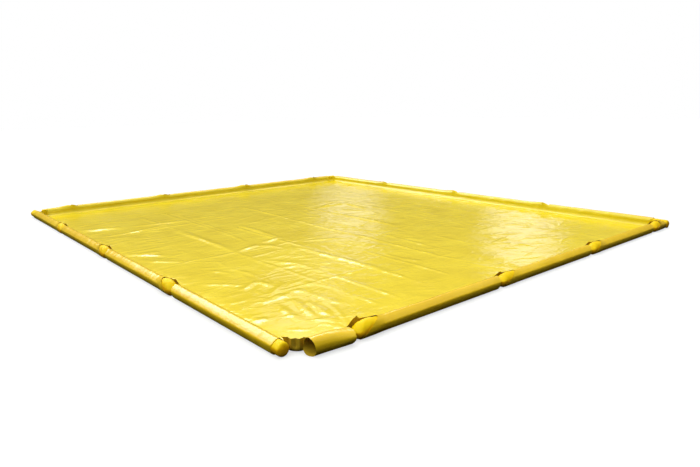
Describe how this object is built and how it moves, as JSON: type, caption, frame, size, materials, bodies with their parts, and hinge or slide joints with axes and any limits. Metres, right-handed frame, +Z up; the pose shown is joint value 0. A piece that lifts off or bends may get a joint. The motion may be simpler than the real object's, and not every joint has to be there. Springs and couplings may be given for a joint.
{
  "type": "spill containment berm",
  "caption": "Flat sheet containment berm with a low wall of foam logs in sleeves, an inner skirt and pleated corners; the logs draw out at the corners.",
  "frame": {"origin": "on the ground under the middle of the berm", "axes": "+Z up; +X along the front and back walls, towards the right wall; +Y along the left and right walls, towards the back wall"},
  "size_m": [5.32, 6.2, 0.125],
  "materials": {
    "floor_sheet": "satin",
    "wall_sheet": "satin",
    "log_film": "satin"
  },
  "bodies": {
    "berm": {"floor_sheet": "floor_sheet", "front_skirt": "wall_sheet", "right_skirt": "wall_sheet", "back_skirt": "wall_sheet", "left_skirt": "wall_sheet", "front_corner_gusset": "wall_sheet", "right_corner_gusset": "wall_sheet", "back_corner_gusset": "wall_sheet", "left_corner_gusset": "wall_sheet", "front_sleeve_1": "wall_sheet", "front_sleeve_2": "wall_sheet", "front_sleeve_3": "wall_sheet", "front_sleeve_4": "wall_sheet", "front_sleeve_5": "wall_sheet", "right_sleeve_1": "wall_sheet", "right_sleeve_2": "wall_sheet", "right_sleeve_3": "wall_sheet", "right_sleeve_4": "wall_sheet", "back_sleeve_1": "wall_sheet", "back_sleeve_2": "wall_sheet", "back_sleeve_3": "wall_sheet", "back_sleeve_4": "wall_sheet", "back_sleeve_5": "wall_sheet", "left_sleeve_1": "wall_sheet", "left_sleeve_2": "wall_sheet", "left_sleeve_3": "wall_sheet", "left_sleeve_4": "wall_sheet"},
    "front_log_2": {"front_log_2": "log_film"},
    "front_log_3": {"front_log_3": "log_film"},
    "front_log_4": {"front_log_4": "log_film"},
    "front_log_5": {"front_log_5": "log_film"},
    "right_log_1": {"right_log_1": "log_film"},
    "right_log_2": {"right_log_2": "log_film"},
    "right_log_3": {"right_log_3": "log_film"},
    "right_log_4": {"right_log_4": "log_film"},
    "back_log_1": {"back_log_1": "log_film"},
    "back_log_2": {"back_log_2": "log_film"},
    "back_log_3": {"back_log_3": "log_film"},
    "back_log_4": {"back_log_4": "log_film"},
    "back_log_5": {"back_log_5": "log_film"},
    "left_log_1": {"left_log_1": "log_film"},
    "left_log_2": {"left_log_2": "log_film"},
    "left_log_3": {"left_log_3": "log_film"},
    "left_log_4": {"left_log_4": "log_film"}
  },
  "joints": [
    {"name": "front_log_2_slide", "type": "slide", "parent": "berm", "child": "front_log_2", "axis": [-1, 0, 0], "range_m": [0, 5.32]},
    {"name": "front_log_3_slide", "type": "slide", "parent": "berm", "child": "front_log_3", "axis": [-1, 0, 0], "range_m": [0, 5.32]},
    {"name": "front_log_4_slide", "type": "slide", "parent": "berm", "child": "front_log_4", "axis": [-1, 0, 0], "range_m": [0, 5.32]},
    {"name": "front_log_5_slide", "type": "slide", "parent": "berm", "child": "front_log_5", "axis": [-1, 0, 0], "range_m": [0, 5.32]},
    {"name": "right_log_1_slide", "type": "slide", "parent": "berm", "child": "right_log_1", "axis": [0, -1, 0], "range_m": [0, 6.2]},
    {"name": "right_log_2_slide", "type": "slide", "parent": "berm", "child": "right_log_2", "axis": [0, -1, 0], "range_m": [0, 6.2]},
    {"name": "right_log_3_slide", "type": "slide", "parent": "berm", "child": "right_log_3", "axis": [0, -1, 0], "range_m": [0, 6.2]},
    {"name": "right_log_4_slide", "type": "slide", "parent": "berm", "child": "right_log_4", "axis": [0, -1, 0], "range_m": [0, 6.2]},
    {"name": "back_log_1_slide", "type": "slide", "parent": "berm", "child": "back_log_1", "axis": [1, 0, 0], "range_m": [0, 5.32]},
    {"name": "back_log_2_slide", "type": "slide", "parent": "berm", "child": "back_log_2", "axis": [1, 0, 0], "range_m": [0, 5.32]},
    {"name": "back_log_3_slide", "type": "slide", "parent": "berm", "child": "back_log_3", "axis": [1, 0, 0], "range_m": [0, 5.32]},
    {"name": "back_log_4_slide", "type": "slide", "parent": "berm", "child": "back_log_4", "axis": [1, 0, 0], "range_m": [0, 5.32]},
    {"name": "back_log_5_slide", "type": "slide", "parent": "berm", "child": "back_log_5", "axis": [1, 0, 0], "range_m": [0, 5.32]},
    {"name": "left_log_1_slide", "type": "slide", "parent": "berm", "child": "left_log_1", "axis": [0, 1, 0], "range_m": [0, 6.2]},
    {"name": "left_log_2_slide", "type": "slide", "parent": "berm", "child": "left_log_2", "axis": [0, 1, 0], "range_m": [0, 6.2]},
    {"name": "left_log_3_slide", "type": "slide", "parent": "berm", "child": "left_log_3", "axis": [0, 1, 0], "range_m": [0, 6.2]},
    {"name": "left_log_4_slide", "type": "slide", "parent": "berm", "child": "left_log_4", "axis": [0, 1, 0], "range_m": [0, 6.2]}
  ],
  "couplings": [
    {"joint": "front_log_3_slide", "follows": "front_log_2_slide", "ratio": 1},
    {"joint": "front_log_4_slide", "follows": "front_log_2_slide", "ratio": 1},
    {"joint": "front_log_5_slide", "follows": "front_log_2_slide", "ratio": 1},
    {"joint": "right_log_2_slide", "follows": "right_log_1_slide", "ratio": 1},
    {"joint": "right_log_3_slide", "follows": "right_log_1_slide", "ratio": 1},
    {"joint": "right_log_4_slide", "follows": "right_log_1_slide", "ratio": 1},
    {"joint": "back_log_1_slide", "follows": "back_log_2_slide", "ratio": 1},
    {"joint": "back_log_3_slide", "follows": "back_log_2_slide", "ratio": 1},
    {"joint": "back_log_4_slide", "follows": "back_log_2_slide", "ratio": 1},
    {"joint": "back_log_5_slide", "follows": "back_log_2_slide", "ratio": 1},
    {"joint": "left_log_2_slide", "follows": "left_log_1_slide", "ratio": 1},
    {"joint": "left_log_3_slide", "follows": "left_log_1_slide", "ratio": 1},
    {"joint": "left_log_4_slide", "follows": "left_log_1_slide", "ratio": 1}
  ]
}
